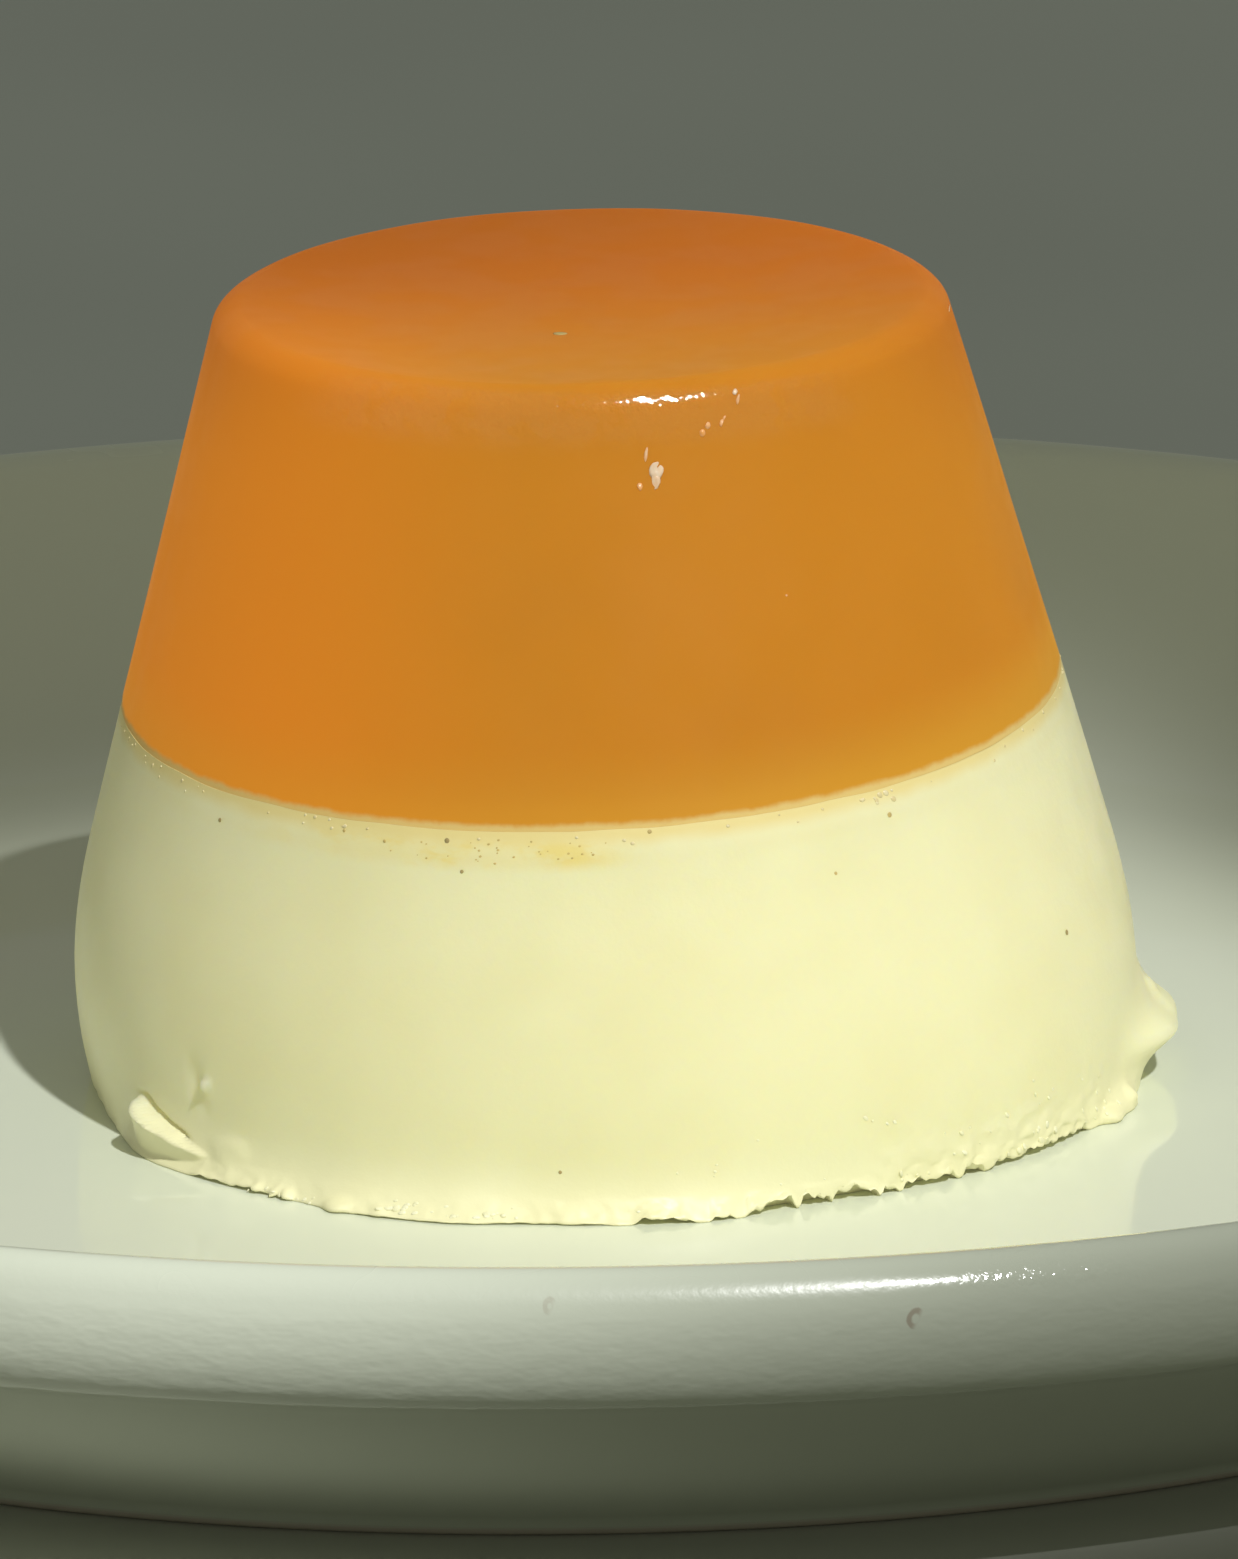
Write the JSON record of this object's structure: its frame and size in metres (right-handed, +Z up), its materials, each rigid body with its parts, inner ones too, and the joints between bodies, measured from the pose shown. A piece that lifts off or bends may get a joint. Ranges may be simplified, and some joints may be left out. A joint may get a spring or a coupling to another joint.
{
  "type": "panna cotta on a plate",
  "caption": "Moulded panna cotta, a layer of set cream under a clear orange jelly layer, turned out on a round white coupe plate.",
  "frame": {"origin": "middle of the plate's foot, on the surface the plate stands on", "axes": "+Z up, -Y the front with the torn flap of cream to the left of the middle, +X to the right seen from the front"},
  "size_m": [0.212, 0.212, 0.057],
  "materials": {
    "plate_glaze": "thick glossy glaze, warm greenish white",
    "set_cream": "soft satin set cream, pale yellow, slightly translucent",
    "orange_jelly": "moist glossy fruit jelly, opaque orange"
  },
  "bodies": {
    "root": {"plate": "plate_glaze", "cream": "set_cream", "jelly": "orange_jelly"}
  },
  "joints": []
}
